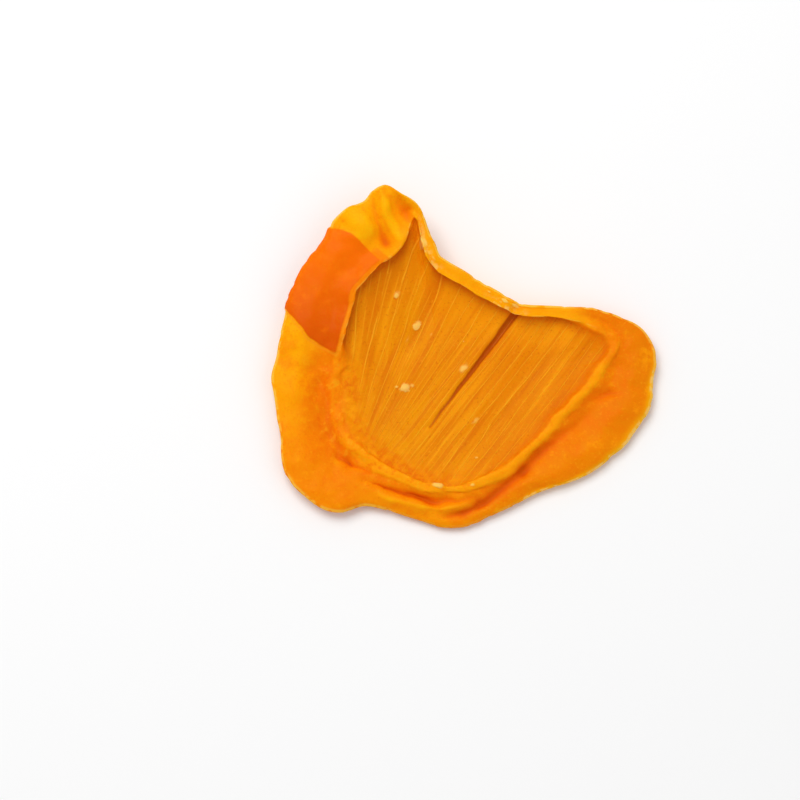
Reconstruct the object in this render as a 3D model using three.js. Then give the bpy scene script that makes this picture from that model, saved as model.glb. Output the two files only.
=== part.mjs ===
// One slice of dried persimmon, cut lengthwise through a peeled fruit and dried until it curled.
// Millimetres, +Z up. The slice lies on its underside with its cut face up: a fibrous face sunk in
// the middle, a raised lip round it where the cut ended, and outside the lip a smooth band, which was
// the outer flesh of the fruit and has turned upwards. The rim at the back stands up as a thin wall,
// and at the back left the band has rolled in over the face and ends in a pinched tip.

import * as THREE from "three";
import { mergeVertices } from "three/addons/utils/BufferGeometryUtils.js";

// Flesh
const FACE_THICKNESS = 1.9; // thickness of the dried flesh in the middle
const FACE_FILLET = 0.5; // how much the face climbs just before the foot of the lip
const FACE_CURL = 0.48; // share of the wall's height that the face has curled up to meet it
const EDGE_THICKNESS = 1.1; // thickness at the thin outer edge
const VALLEY_SHARE = 0.045; // the band's dip just outside the lip, as a share of the band's width
const CROWN_SHARE = 0.035; // the band's swell nearer the edge, as a share of its width

// The underside: a flat spot to rest on, from which the slice curls up like a shallow dish
const REST = { x: -6, y: -3, radius: 10, stretch: 1.15 }; // middle of the flat spot
const DISH = { height: 0.9, reach: 25, power: 1.6 }; // the gentle rise all round
const TIP_LIFT = { along: [-0.3, 0.95], from: 5, height: 6.2, reach: 28, power: 2.2 };
const LEFT_LIFT = { from: -15, height: 0.9, reach: 18, power: 1.5 };

// Middle of the face, from which every spoke of the slice runs out to the rim
const MIDDLE = new THREE.Vector3(-5, -4, 0);

// Mesh
const BLOCK = 28; // squares along each side of the block in the middle of the face and underside
const FACE_BLOCK_SHARE = 0.62; // the block's reach on the face, as a share of the way to the lip
const BASE_BLOCK_SHARE = 0.5; // and on the underside, as a share of the way to where it turns up

// Once round the rim, clockwise from the pinched tip at the back left. At each station:
// edge [x, y, z], lip [x, y, z], how far the lip leans in over its own foot (negative where its
// side slopes out), and how far inside the edge the underside turns up.
const RIM = [
  [[-16.7, 33.5, 10.2], [-11.7, 26.8, 8.8], -0.5, 3.4],
  [[-13.6, 31.8, 10.4], [-11.2, 27.6, 9.0], -0.4, 2.6],
  [[-10.3, 29.5, 9.8], [-10.7, 26.9, 9.2], -0.2, 2.0],
  [[-8.0, 24.2, 8.9], [-9.9, 23.0, 9.0], 0.1, 1.8],
  [[-6.3, 20.4, 8.4], [-8.2, 18.6, 8.6], 0.5, 1.8],
  [[-4.5, 19.0, 8.1], [-6.1, 16.6, 8.4], 0.7, 1.8],
  [[-2.3, 17.6, 7.8], [-3.7, 15.2, 8.1], 0.8, 1.8],
  [[5.6, 13.1, 6.8], [4.6, 10.7, 7.0], 0.9, 1.8],
  [[8.9, 11.4, 6.3], [8.7, 9.0, 6.5], 0.8, 1.8],
  [[13.2, 11.2, 5.9], [13.0, 8.9, 6.1], 0.6, 1.8],
  [[17.8, 11.0, 5.5], [17.6, 8.4, 5.6], 0.1, 1.9],
  [[22.4, 11.0, 5.0], [21.8, 7.5, 5.1], -1.5, 2.2],
  [[26.7, 9.6, 4.4], [25.2, 5.8, 4.3], -2.9, 2.6],
  [[30.8, 8.0, 3.8], [26.6, 4.3, 4.0], -3.3, 3.0],
  [[33.7, 5.1, 3.3], [26.1, 1.9, 4.0], -3.3, 3.4],
  [[34.7, 1.3, 3.0], [24.6, 0.2, 4.0], -3.0, 3.8],
  [[34.1, -3.1, 2.8], [23.0, -2.7, 4.0], -2.8, 3.9],
  [[33.6, -7.2, 2.6], [19.9, -5.4, 3.9], -2.6, 4.0],
  [[31.4, -11.3, 2.4], [16.6, -9.2, 3.9], -2.6, 4.0],
  [[28.5, -15.1, 2.2], [13.5, -13.1, 3.8], -2.6, 4.0],
  [[20.9, -20.9, 2.0], [5.9, -19.8, 3.7], -2.6, 4.0],
  [[11.7, -24.3, 2.0], [-1.3, -23.2, 3.6], -2.6, 4.0],
  [[2.5, -28.9, 1.9], [-8.1, -23.1, 3.5], -2.6, 4.0],
  [[-2.0, -30.4, 1.9], [-11.2, -22.2, 3.4], -2.6, 4.0],
  [[-6.6, -30.5, 1.9], [-14.3, -20.8, 3.4], -2.6, 3.9],
  [[-11.2, -29.0, 2.0], [-17.3, -19.2, 3.5], -2.7, 3.8],
  [[-20.4, -26.7, 2.5], [-21.9, -16.2, 3.4], -3.1, 3.8],
  [[-24.9, -27.9, 2.9], [-23.7, -14.8, 3.4], -3.4, 4.0],
  [[-29.3, -26.8, 3.2], [-24.9, -13.1, 3.1], -3.5, 4.2],
  [[-35.3, -21.0, 3.6], [-26.2, -8.4, 3.1], -3.5, 4.2],
  [[-36.6, -11.8, 4.0], [-26.1, -3.3, 3.4], -2.9, 4.0],
  [[-38.1, -2.8, 4.4], [-25.4, 0.6, 4.2], -1.9, 3.6],
  [[-37.3, 1.8, 4.6], [-24.9, 3.1, 5.2], -0.6, 3.2],
  [[-36.5, 6.4, 4.9], [-24.2, 6.1, 6.2], 0.6, 2.8],
  [[-34.9, 12.6, 5.4], [-22.9, 10.5, 6.7], 1.1, 2.6],
  [[-32.6, 17.7, 6.0], [-22.2, 13.5, 7.2], 1.1, 2.7],
  [[-30.4, 20.9, 6.4], [-20.8, 15.1, 7.4], 1.1, 2.8],
  [[-28.0, 24.0, 6.9], [-18.7, 17.3, 7.8], 1.0, 3.0],
  [[-26.7, 27.1, 7.5], [-16.6, 19.2, 8.0], 0.9, 3.2],
  [[-23.9, 29.4, 8.3], [-14.3, 21.0, 8.2], 0.6, 3.4],
  [[-20.7, 30.6, 9.0], [-12.9, 23.2, 8.4], 0.2, 3.4],
  [[-19.4, 32.1, 9.6], [-12.3, 24.9, 8.6], -0.1, 3.4],
];

// Long dips in the upper side: from, to, half width, depth at either end. A negative depth is a
// swelling.
const DIPS = [
  { from: [-8.3, -11.6], to: [8.3, 10.5], half: 1.3, depth: [0.25, 0.85] }, // core line
  { from: [-13.5, 2.5], to: [-6.4, 16.2], half: 2.0, depth: [0.2, 0.5] }, // seed chamber by it
  { from: [2.5, -12.5], to: [15.0, 4.5], half: 2.6, depth: [0.15, 0.2] }, // and on its other side
  { from: [-19.2, 30.4], to: [-16.6, 23.6], half: 1.4, depth: [0.4, 1.1] }, // folds near the tip
  { from: [-15.0, 31.8], to: [-12.3, 26.8], half: 1.2, depth: [0.3, 0.8] },
  { from: [-16.8, 31.0], to: [-14.8, 24.0], half: 1.3, depth: [-0.4, -0.8] },
  { from: [-23.0, -19.0], to: [-14.0, -24.0], half: 1.2, depth: [0.4, 0.7] }, // front creases
  { from: [-14.0, -24.0], to: [-5.0, -25.8], half: 1.2, depth: [0.7, 0.5] },
  { from: [-4.0, -27.8], to: [9.0, -19.8], half: 1.3, depth: [0.3, 0.6] },
  { from: [9.0, -19.8], to: [21.0, -9.8], half: 1.3, depth: [0.5, 0.25] },
];

// How the cross-section is followed from the middle of the face over the rim to the underside:
// rows of mesh between one control point of the section and the next.
const FACE_ROWS = 6;
const SECTION_ROWS = [1, 2, 2, 3, 3, 1, 1, 2, 2, 2, 2];
const UNDER_ROWS = 8; // the last rows, which the dips in the upper side leave alone

const ROWS = FACE_ROWS + SECTION_ROWS.reduce((sum, rows) => sum + rows, 0);

const closedCurve = (points) => new THREE.CatmullRomCurve3(points, true, "centripetal");
const edgeLine = closedCurve(RIM.map(([edge]) => new THREE.Vector3(...edge)));
const lipLine = closedCurve(RIM.map(([, lip]) => new THREE.Vector3(...lip)));
const turnLine = closedCurve(RIM.map(([, , lean, inset], i) => new THREE.Vector3(lean, inset, i)));

const climb = (distance, { height, reach, power }) =>
  height * (Math.max(0, distance) / reach) ** power;

// Height of the underside at a place.
function underAt(x, y) {
  const fromRest = Math.hypot((x - REST.x) / REST.stretch, y - REST.y) - REST.radius;
  const toTip = x * TIP_LIFT.along[0] + y * TIP_LIFT.along[1] - TIP_LIFT.from;
  return climb(fromRest, DISH) + climb(toTip, TIP_LIFT) + climb(LEFT_LIFT.from - x, LEFT_LIFT);
}

// A point of the cut face at a share of the way from the middle to the foot of the lip, where the
// face has curled up by the given height.
function facePoint(foot, curl, part) {
  const point = MIDDLE.clone().lerp(foot, part);
  const lift = FACE_THICKNESS + FACE_FILLET * part ** 8 + curl * part ** 4;
  return point.setZ(underAt(point.x, point.y) + lift);
}

// A point of the underside at a share of the way from the middle to where it turns up.
function basePoint(heel, part) {
  const point = MIDDLE.clone().lerp(heel, part);
  return point.setZ(underAt(point.x, point.y));
}

// The control points of the slice's section at a share of the way round its edge.
function sectionAt(share) {
  const t = edgeLine.getUtoTmapping(share);
  const edge = edgeLine.getPoint(t);
  const lip = lipLine.getPoint(t);
  const { x: lean, y: heelInset } = turnLine.getPoint(t);

  const across = edge.clone().sub(lip).setZ(0);
  const width = across.length();
  const out = across.normalize();
  const beside = (point, distance, z) => point.clone().addScaledVector(out, distance).setZ(z);

  const foot = beside(lip, lean, 0);
  const wall = lip.z - underAt(foot.x, foot.y) - FACE_THICKNESS;
  const curl = FACE_CURL * Math.max(0, wall - FACE_FILLET);
  foot.z = facePoint(foot, curl, 1).z;
  const riser = beside(lip, lean * 0.45, THREE.MathUtils.lerp(foot.z, lip.z, 0.55));
  const valley = lip.clone().lerp(edge, 0.28);
  valley.z -= width * VALLEY_SHARE;
  const crown = lip.clone().lerp(edge, 0.66);
  crown.z += width * CROWN_SHARE;
  const shoulder = beside(edge, -0.45, edge.z);
  const nose = edge.clone().setZ(edge.z - EDGE_THICKNESS / 2);
  const under = beside(edge, -0.5, edge.z - EDGE_THICKNESS);
  const heel = beside(edge, -heelInset, 0);
  const heelFloor = underAt(heel.x, heel.y);
  heel.z = heelFloor + 0.12 * Math.max(0, edge.z - heelFloor);

  const spine = new THREE.CatmullRomCurve3(
    [
      facePoint(foot, curl, 0.88),
      ...[foot, riser, lip, valley, crown, shoulder, nose, under, heel],
      ...[0.84, 0.67, BASE_BLOCK_SHARE].map((part) => basePoint(heel, part)),
    ],
    false,
    "centripetal",
  );
  return { foot, curl, heel, spine };
}

// A point of the section by mesh row, from 0 at the block on the face to ROWS at the block below.
function sectionPoint({ foot, curl, spine }, row) {
  if (row <= FACE_ROWS) {
    return facePoint(foot, curl, THREE.MathUtils.lerp(FACE_BLOCK_SHARE, 1, row / FACE_ROWS));
  }
  let left = row - FACE_ROWS;
  let span = 0;
  while (left > SECTION_ROWS[span]) {
    left -= SECTION_ROWS[span];
    span += 1;
  }
  const spans = SECTION_ROWS.length + 1; // the first span of the curve is still the face
  return spine.getPoint((span + 1 + left / SECTION_ROWS[span]) / spans);
}

// How far the dips lower the upper side at a place.
function dipAt(x, y) {
  const place = new THREE.Vector2(x, y);
  return DIPS.reduce((sum, { from, to, half, depth }) => {
    const start = new THREE.Vector2(...from);
    const along = new THREE.Vector2(...to).sub(start);
    const part = THREE.MathUtils.clamp(place.clone().sub(start).dot(along) / along.lengthSq(), 0, 1);
    const gap = place.distanceTo(start.addScaledVector(along, part)) / half;
    return sum + THREE.MathUtils.lerp(...depth, part) * Math.exp(-gap * gap);
  }, 0);
}

// Share of the way round a square, clockwise from its back left corner, for a place on its outline.
function roundSquare(a, b, reach) {
  if (b >= reach - 1e-6) return (a / reach + 1) / 8;
  if (a >= reach - 1e-6) return 0.25 + (1 - b / reach) / 8;
  if (b <= -reach + 1e-6) return 0.5 + (1 - a / reach) / 8;
  return 0.75 + (b / reach + 1) / 8;
}

// The slice starts as a block of squares, whose corners are then moved to the slice's surface.
function sliceGeometry() {
  const block = new THREE.BoxGeometry(2, 2, 2, BLOCK, BLOCK, ROWS);
  block.deleteAttribute("normal");
  block.deleteAttribute("uv");
  const slice = mergeVertices(block, 1e-5);
  const place = slice.getAttribute("position");
  const sections = new Map();
  const sectionFor = (share) => {
    const key = share.toFixed(6);
    if (!sections.has(key)) sections.set(key, sectionAt(share));
    return sections.get(key);
  };

  for (let i = 0; i < place.count; i += 1) {
    const [a, b, c] = [place.getX(i), place.getY(i), place.getZ(i)];
    const reach = Math.max(Math.abs(a), Math.abs(b));
    const section = sectionFor(reach < 1e-6 ? 0 : roundSquare(a, b, reach) % 1);
    const row = ((1 - c) / 2) * ROWS;
    const onTop = c > 1 - 1e-6;
    const below = c < -1 + 1e-6;
    let point = sectionPoint(section, row);
    if (onTop) point = facePoint(section.foot, section.curl, FACE_BLOCK_SHARE * reach);
    if (below) point = basePoint(section.heel, BASE_BLOCK_SHARE * reach);
    if (row < ROWS - UNDER_ROWS) point.z -= dipAt(point.x, point.y);
    place.setXYZ(i, point.x, point.y, Math.max(point.z, 0));
  }

  slice.computeBoundingBox();
  const { min, max } = slice.boundingBox;
  slice.translate(-(min.x + max.x) / 2, -(min.y + max.y) / 2, 0);
  slice.computeVertexNormals();
  return slice;
}

const driedFlesh = new THREE.MeshStandardMaterial({
  color: new THREE.Color(0.93, 0.53, 0.06),
  roughness: 0.45,
  metalness: 0,
});

const slice = new THREE.Mesh(sliceGeometry(), driedFlesh);
slice.name = "persimmon_slice";

const part = new THREE.Group();
part.add(slice);

export default part;
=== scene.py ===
# %% [markdown]
# One slice of dried persimmon
#
# A peeled persimmon was cut lengthwise and the slice was dried until it curled up like a shallow
# dish. What we look down on is one cut face, sunk and fibrous, with a raised lip round it. Outside
# the lip is a smooth band. It was the outer flesh of the fruit and has turned up towards us as the
# slice dried. A strip of skin that the peeler missed is still on it at the back left.
#
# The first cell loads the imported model, which gives the slice its true size and place.

import math

import bpy
import numpy as np
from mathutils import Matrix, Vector, noise


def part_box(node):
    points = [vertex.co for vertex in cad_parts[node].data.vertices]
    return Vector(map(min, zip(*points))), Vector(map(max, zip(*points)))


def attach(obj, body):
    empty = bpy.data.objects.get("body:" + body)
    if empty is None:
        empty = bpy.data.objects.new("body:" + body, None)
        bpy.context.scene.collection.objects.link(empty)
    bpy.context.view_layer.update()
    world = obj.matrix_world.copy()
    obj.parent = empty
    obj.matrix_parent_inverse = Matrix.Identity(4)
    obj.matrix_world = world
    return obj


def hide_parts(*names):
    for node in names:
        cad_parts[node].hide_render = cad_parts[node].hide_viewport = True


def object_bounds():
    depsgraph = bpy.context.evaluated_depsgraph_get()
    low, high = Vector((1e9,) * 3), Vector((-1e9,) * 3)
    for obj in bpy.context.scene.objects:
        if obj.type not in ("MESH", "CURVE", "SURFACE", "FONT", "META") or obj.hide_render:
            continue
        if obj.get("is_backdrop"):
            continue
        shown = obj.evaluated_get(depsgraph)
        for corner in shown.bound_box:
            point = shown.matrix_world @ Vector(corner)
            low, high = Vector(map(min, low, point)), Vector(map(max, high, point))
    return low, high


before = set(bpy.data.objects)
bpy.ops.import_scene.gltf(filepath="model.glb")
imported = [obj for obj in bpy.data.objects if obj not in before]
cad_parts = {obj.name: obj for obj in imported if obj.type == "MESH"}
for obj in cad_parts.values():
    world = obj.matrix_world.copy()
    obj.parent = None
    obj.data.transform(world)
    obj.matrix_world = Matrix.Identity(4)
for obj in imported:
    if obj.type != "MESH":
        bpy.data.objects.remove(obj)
cad_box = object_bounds()
NODE = "persimmon_slice"
MM = 0.001
low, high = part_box(NODE)
print("slice in the frame, mm:", [round((b - a) / MM, 1) for a, b in zip(low, high)])

# %% [markdown]
# The outline, station by station
#
# A curled slice has no flat outline that could be drawn once and extruded: its edge climbs from
# 2 mm at the front to 10 mm at the pinched tip, and the lip runs inside it at its own height. So
# both lines are written down at 42 stations, clockwise from the tip, as someone with a ruler
# would measure them. The last two numbers say how far the lip leans in over its own foot, which
# is negative where its side slopes outwards, and how far inside the edge the underside turns up.

# %% Stations round the rim, in millimetres
RIM = [
    ((-16.7, 33.5, 10.2), (-11.7, 26.8, 8.8), -0.5, 3.4),
    ((-13.6, 31.8, 10.4), (-11.2, 27.6, 9.0), -0.4, 2.6),
    ((-10.3, 29.5, 9.8), (-10.7, 26.9, 9.2), -0.2, 2.0),
    ((-8.0, 24.2, 8.9), (-9.9, 23.0, 9.0), 0.1, 1.8),
    ((-6.3, 20.4, 8.4), (-8.2, 18.6, 8.6), 0.5, 1.8),
    ((-4.5, 19.0, 8.1), (-6.1, 16.6, 8.4), 0.7, 1.8),
    ((-2.3, 17.6, 7.8), (-3.7, 15.2, 8.1), 0.8, 1.8),
    ((5.6, 13.1, 6.8), (4.6, 10.7, 7.0), 0.9, 1.8),
    ((8.9, 11.4, 6.3), (8.7, 9.0, 6.5), 0.8, 1.8),
    ((13.2, 11.2, 5.9), (13.0, 8.9, 6.1), 0.6, 1.8),
    ((17.8, 11.0, 5.5), (17.6, 8.4, 5.6), 0.1, 1.9),
    ((22.4, 11.0, 5.0), (21.8, 7.5, 5.1), -1.5, 2.2),
    ((26.7, 9.6, 4.4), (25.2, 5.8, 4.3), -2.9, 2.6),
    ((30.8, 8.0, 3.8), (26.6, 4.3, 4.0), -3.3, 3.0),
    ((33.7, 5.1, 3.3), (26.1, 1.9, 4.0), -3.3, 3.4),
    ((34.7, 1.3, 3.0), (24.6, 0.2, 4.0), -3.0, 3.8),
    ((34.1, -3.1, 2.8), (23.0, -2.7, 4.0), -2.8, 3.9),
    ((33.6, -7.2, 2.6), (20.1, -5.6, 3.9), -2.6, 4.0),
    ((31.4, -11.3, 2.4), (16.9, -9.3, 3.9), -2.6, 4.0),
    ((28.5, -15.1, 2.2), (13.5, -13.1, 3.8), -2.6, 4.0),
    ((20.9, -20.9, 2.0), (5.9, -19.8, 3.7), -2.6, 4.0),
    ((11.7, -24.3, 2.0), (-1.3, -23.2, 3.6), -2.6, 4.0),
    ((2.5, -28.9, 1.9), (-8.1, -23.1, 3.5), -2.6, 4.0),
    ((-2.0, -30.4, 1.9), (-11.2, -22.2, 3.4), -2.6, 4.0),
    ((-6.6, -30.5, 1.9), (-14.3, -20.8, 3.4), -2.6, 3.9),
    ((-11.2, -29.0, 2.0), (-17.3, -19.2, 3.5), -2.7, 3.8),
    ((-20.4, -26.7, 2.5), (-21.9, -16.2, 3.4), -3.1, 3.8),
    ((-24.9, -27.9, 2.9), (-23.7, -14.8, 3.4), -3.4, 4.0),
    ((-29.3, -26.8, 3.2), (-24.9, -13.1, 3.1), -3.5, 4.2),
    ((-35.3, -21.0, 3.6), (-26.2, -8.4, 3.1), -3.5, 4.2),
    ((-36.6, -11.8, 4.0), (-26.1, -3.3, 3.4), -2.9, 4.0),
    ((-38.1, -2.8, 4.4), (-25.4, 0.6, 4.2), -1.9, 3.6),
    ((-37.3, 1.8, 4.6), (-24.9, 3.1, 5.2), -0.6, 3.2),
    ((-36.5, 6.4, 4.9), (-24.2, 6.1, 6.2), 0.6, 2.8),
    ((-34.9, 12.6, 5.4), (-22.9, 10.5, 6.7), 1.1, 2.6),
    ((-32.6, 17.7, 6.0), (-22.2, 13.5, 7.2), 1.1, 2.7),
    ((-30.4, 20.9, 6.4), (-20.8, 15.1, 7.4), 1.1, 2.8),
    ((-28.0, 24.0, 6.9), (-18.7, 17.3, 7.8), 1.0, 3.0),
    ((-26.7, 27.1, 7.5), (-16.6, 19.2, 8.0), 0.9, 3.2),
    ((-23.9, 29.4, 8.3), (-14.3, 21.0, 8.2), 0.6, 3.4),
    ((-20.7, 30.6, 9.0), (-12.9, 23.2, 8.4), 0.2, 3.4),
    ((-19.4, 32.1, 9.6), (-12.3, 24.9, 8.6), -0.1, 3.4),
]
EDGE = np.array([station[0] for station in RIM])
LIP = np.array([station[1] for station in RIM])
TURN = np.array([(station[2], station[3], i) for i, station in enumerate(RIM)], float)
print(len(RIM), "stations, edge", EDGE.min(axis=0), "to", EDGE.max(axis=0))

# %% [markdown]
# Smooth lines through the stations
#
# Blender has curves, but here the same rule has to run across the slice as well as round it, and
# thousands of times, so it is written once as a function. It is a Catmull-Rom curve: it passes
# through every point, and the square root of the spacing keeps it from looping where two stations
# are close together.

# %% Curves
def catmull(p0, p1, p2, p3, w):
    def spacing(a, b):
        return np.linalg.norm(b - a, axis=-1, keepdims=True) ** 0.5

    d0, d1, d2 = spacing(p0, p1), spacing(p1, p2), spacing(p2, p3)
    start = ((p1 - p0) / d0 - (p2 - p0) / (d0 + d1) + (p2 - p1) / d1) * d1
    end = ((p2 - p1) / d1 - (p3 - p1) / (d1 + d2) + (p3 - p2) / d2) * d1
    return (
        p1
        + start * w
        + (3 * (p2 - p1) - 2 * start - end) * w**2
        + (2 * (p1 - p2) + start + end) * w**3
    )


def round_curve(points, place):
    """Points of a closed curve, at places counted in stations."""
    i = np.floor(place).astype(int)
    w = (place - i)[:, None]
    n = len(points)
    return catmull(points[(i - 1) % n], points[i % n], points[(i + 1) % n], points[(i + 2) % n], w)


fine = np.linspace(0, len(RIM), 2001)
steps = np.linalg.norm(np.diff(round_curve(EDGE, fine), axis=0), axis=1)
travelled = np.concatenate([[0], np.cumsum(steps)])
ROUND_MM = travelled[-1]


def station_at(share):
    """Place in stations for a share of the way round the edge."""
    return np.interp(share % 1.0, travelled / ROUND_MM, fine) % len(RIM)


print("length of the edge:", round(ROUND_MM), "mm")

# %% [markdown]
# Underside and cut face
#
# The underside is a shallow dish with a flat spot to rest on. It could be sculpted, but then the
# slice would rock. A formula gives a spot that is exactly flat, a gentle rise all round and a
# stronger one towards the tip. The cut face follows the same dish one thickness of flesh higher.

# %% Height of the underside and the face
MIDDLE = np.array([-5.0, -4.0, 0.0])
FACE_THICKNESS = 1.9
FACE_FILLET = 0.5  # how much the face climbs just before the foot of the lip
FACE_CURL = 0.48  # share of the wall's height that the face curls up to meet it
EDGE_THICKNESS = 1.1
FACE_BLOCK = 0.62  # reach of the block's top on the face, as a share of the way out
BASE_BLOCK = 0.5  # and of its bottom on the underside
REST_X, REST_Y, REST_RADIUS, REST_STRETCH = -6, -3, 10, 1.15

# Each rise of the underside has its full height where it has gone its reach
DISH = {"height": 0.9, "reach": 25, "power": 1.6}
TIP_LIFT = {"height": 6.2, "reach": 28, "power": 2.2}
LEFT_LIFT = {"height": 0.9, "reach": 18, "power": 1.5}
TIP_WAY, TIP_START = (-0.3, 0.95), 5
LEFT_START = -15


def climb(distance, height, reach, power):
    return height * (np.maximum(0, distance) / reach) ** power


def under_height(x, y):
    from_rest = np.hypot((x - REST_X) / REST_STRETCH, y - REST_Y) - REST_RADIUS
    to_tip = TIP_WAY[0] * x + TIP_WAY[1] * y - TIP_START
    dish = climb(from_rest, **DISH) + climb(to_tip, **TIP_LIFT)
    return dish + climb(LEFT_START - x, **LEFT_LIFT)


def face_point(foot, part, curl):
    """Place on the face, part of the way out to the foot, where it has curled up by curl."""
    point = MIDDLE + (foot - MIDDLE) * part
    lift = FACE_THICKNESS + FACE_FILLET * part[..., 0] ** 8 + curl * part[..., 0] ** 4
    point[..., 2] = under_height(point[..., 0], point[..., 1]) + lift
    return point


def base_point(heel, part):
    point = MIDDLE + (heel - MIDDLE) * part
    point[..., 2] = under_height(point[..., 0], point[..., 1])
    return point


print("underside at the tip:", round(float(under_height(-16.6, 33.3)), 1), "mm")

# %% [markdown]
# The nibbled edge
#
# The band runs out to an edge as thin as card. It dried first and hardest, so it is nibbled and
# wavy where everything else is soft. The waves are added to the outline itself, because a bump in
# the material would leave the silhouette smooth.

# %% Waves in the outline
NIBBLE_START = 0.15  # height of a quick wave past which it bites into the edge
SLOW_WAVE = (5.0, 3.1)  # size in millimetres and seed
QUICK_WAVE = (1.5, 8.7)


def ripple(points, size, seed):
    """Smooth noise from about -1 to 1 at points in mm, with waves of about the given size."""
    shifted = np.asarray(points, float) / size + seed
    return np.array([noise.noise(Vector(p)) for p in shifted]) * 1.4


def rim_waves(share):
    angle = share * 2 * math.pi
    circle = np.column_stack([np.cos(angle), np.sin(angle), np.zeros(len(share))])
    circle *= ROUND_MM / (2 * math.pi)
    return ripple(circle, *SLOW_WAVE), ripple(circle, *QUICK_WAVE)


quick_waves = rim_waves(np.linspace(0, 1, 500, endpoint=False))[1]
print("nibbles in the edge:", int((np.diff(np.sign(quick_waves - NIBBLE_START)) > 0).sum()))

# %% [markdown]
# The section of the rim
#
# Cut the slice across anywhere and the same things follow one another: the face, the foot of the
# lip, its inner side, its crest, a slight valley, the swell of the band, the thin edge, and the
# underside. Thirteen points hold that section, and a smooth curve is run through them. Where the
# lip is soft, its inner side is a slope and its line wanders a little. In front the valley is
# filled, because the band is folded there.

# %% One section for every share of the way round
FACE_ROWS = 30
SPAN_ROWS = (5, 8, 10, 16, 16, 5, 4, 8, 6, 5, 5)  # from one point of the section to the next
VALLEY = 0.045  # dip of the band just outside the lip, as a share of its width
CROWN = 0.035  # swell of the band nearer the edge, as a share of its width
FRONT_FILL = 0.45  # how much higher the valley lies in front
ROWS = FACE_ROWS + sum(SPAN_ROWS)


def ramp(value, start, end):
    """0 at start, 1 at end and smooth between; start may be the larger."""
    t = np.clip((value - start) / (end - start), 0, 1)
    return t * t * (3 - 2 * t)


def with_z(point, z):
    return np.column_stack([point[:, :2], np.broadcast_to(z, len(point))])


def section(share):
    place = station_at(share)
    edge, lip, turn = (round_curve(table, place) for table in (EDGE, LIP, TURN))
    lean, inset = turn[:, 0], turn[:, 1]
    across = with_z(edge - lip, 0)
    width = np.linalg.norm(across, axis=1)
    out = across / width[:, None]
    soft = ramp(lean, -0.7, -2.5)
    slow, quick = rim_waves(share)
    edge = edge + out * (0.22 * slow - 0.3 * np.maximum(0, quick - NIBBLE_START))[:, None]
    lip = lip + out * (soft * (0.45 * slow + 0.16 * quick))[:, None]
    lip[:, 2] -= 0.15 * soft

    def beside(point, distance, z):
        return with_z(point + out * np.reshape(distance, (-1, 1)), z)

    one = np.ones((len(share), 1))
    foot = beside(lip, lean, 0)
    wall = lip[:, 2] - under_height(foot[:, 0], foot[:, 1]) - FACE_THICKNESS
    curl = FACE_CURL * np.maximum(0, wall - FACE_FILLET)
    foot = face_point(foot, one, curl)
    low_share = 0.45 - 0.2 * soft
    riser = beside(lip, lean * 0.45, foot[:, 2] * low_share + lip[:, 2] * (1 - low_share))
    valley = lip * 0.72 + edge * 0.28
    valley[:, 2] += FRONT_FILL * ramp(lip[:, 1], -17, -21) - width * (VALLEY - 0.01 * soft)
    crown = lip * 0.34 + edge * 0.66
    crown[:, 2] += width * CROWN
    shoulder = beside(edge, -0.45, edge[:, 2])
    nose = with_z(edge, edge[:, 2] - EDGE_THICKNESS / 2)
    under = beside(edge, -0.5, edge[:, 2] - EDGE_THICKNESS)
    heel = beside(edge, -inset, 0)
    floor = under_height(heel[:, 0], heel[:, 1])
    heel[:, 2] = floor + 0.12 * np.maximum(0, edge[:, 2] - floor)
    base = [base_point(heel, one * part) for part in (0.84, 0.67, BASE_BLOCK)]
    before = face_point(foot, one * 0.88, curl)
    spine = [before, foot, riser, lip, valley, crown, shoulder, nose, under, heel, *base]
    return foot, heel, curl, width, soft, np.stack(spine)


print("rows from the middle of the face to the underside:", ROWS)

# %% [markdown]
# A block to start from
#
# The slice has no simple solid inside it, so a cube is cut into a fine grid in edit mode: its top
# will become the face, its sides the rim, its bottom the underside. Cutting the four upright
# edges first and all the others after gives even squares everywhere and one closed skin. A grid
# thickened with Solidify would be quicker, but its wall crosses itself where the rim curls in.

# %% Cut the block
SQUARES = 128


def deselect_all():
    for other in bpy.context.selected_objects:
        other.select_set(False)


deselect_all()
bpy.ops.mesh.primitive_cube_add(size=2, location=(0, 0, 0))
slice_piece = bpy.context.object
slice_piece.name = "dried_slice"
slice_piece.data.name = "dried_slice"


def cut_edges(upright, cuts):
    """Subdivide the edges that stand upright, or those that lie flat."""
    bpy.ops.object.mode_set(mode="EDIT")
    bpy.ops.mesh.select_mode(type="EDGE")
    bpy.ops.mesh.select_all(action="DESELECT")
    bpy.ops.object.mode_set(mode="OBJECT")
    mesh = slice_piece.data
    for edge in mesh.edges:
        a, b = (mesh.vertices[i].co for i in edge.vertices)
        edge.select = (abs(a.z - b.z) > 1e-4) == upright
    bpy.ops.object.mode_set(mode="EDIT")
    bpy.ops.mesh.subdivide(number_cuts=cuts)
    bpy.ops.object.mode_set(mode="OBJECT")


cut_edges(True, ROWS - 1)
cut_edges(False, SQUARES - 1)
print("block:", len(slice_piece.data.vertices), "points,", len(slice_piece.data.polygons), "faces")

# %% [markdown]
# From block to slice
#
# Every point of the block now knows two things: how far round it is, from its place on the
# square, and how far across, from its row. Those two are looked up in the sections above, which
# puts the point on the slice.

# %% How far round and how far across each point is
mesh = slice_piece.data
count = len(mesh.vertices)
block = np.empty(count * 3)
mesh.vertices.foreach_get("co", block)
a, b, c = block.reshape(-1, 3).T


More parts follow.
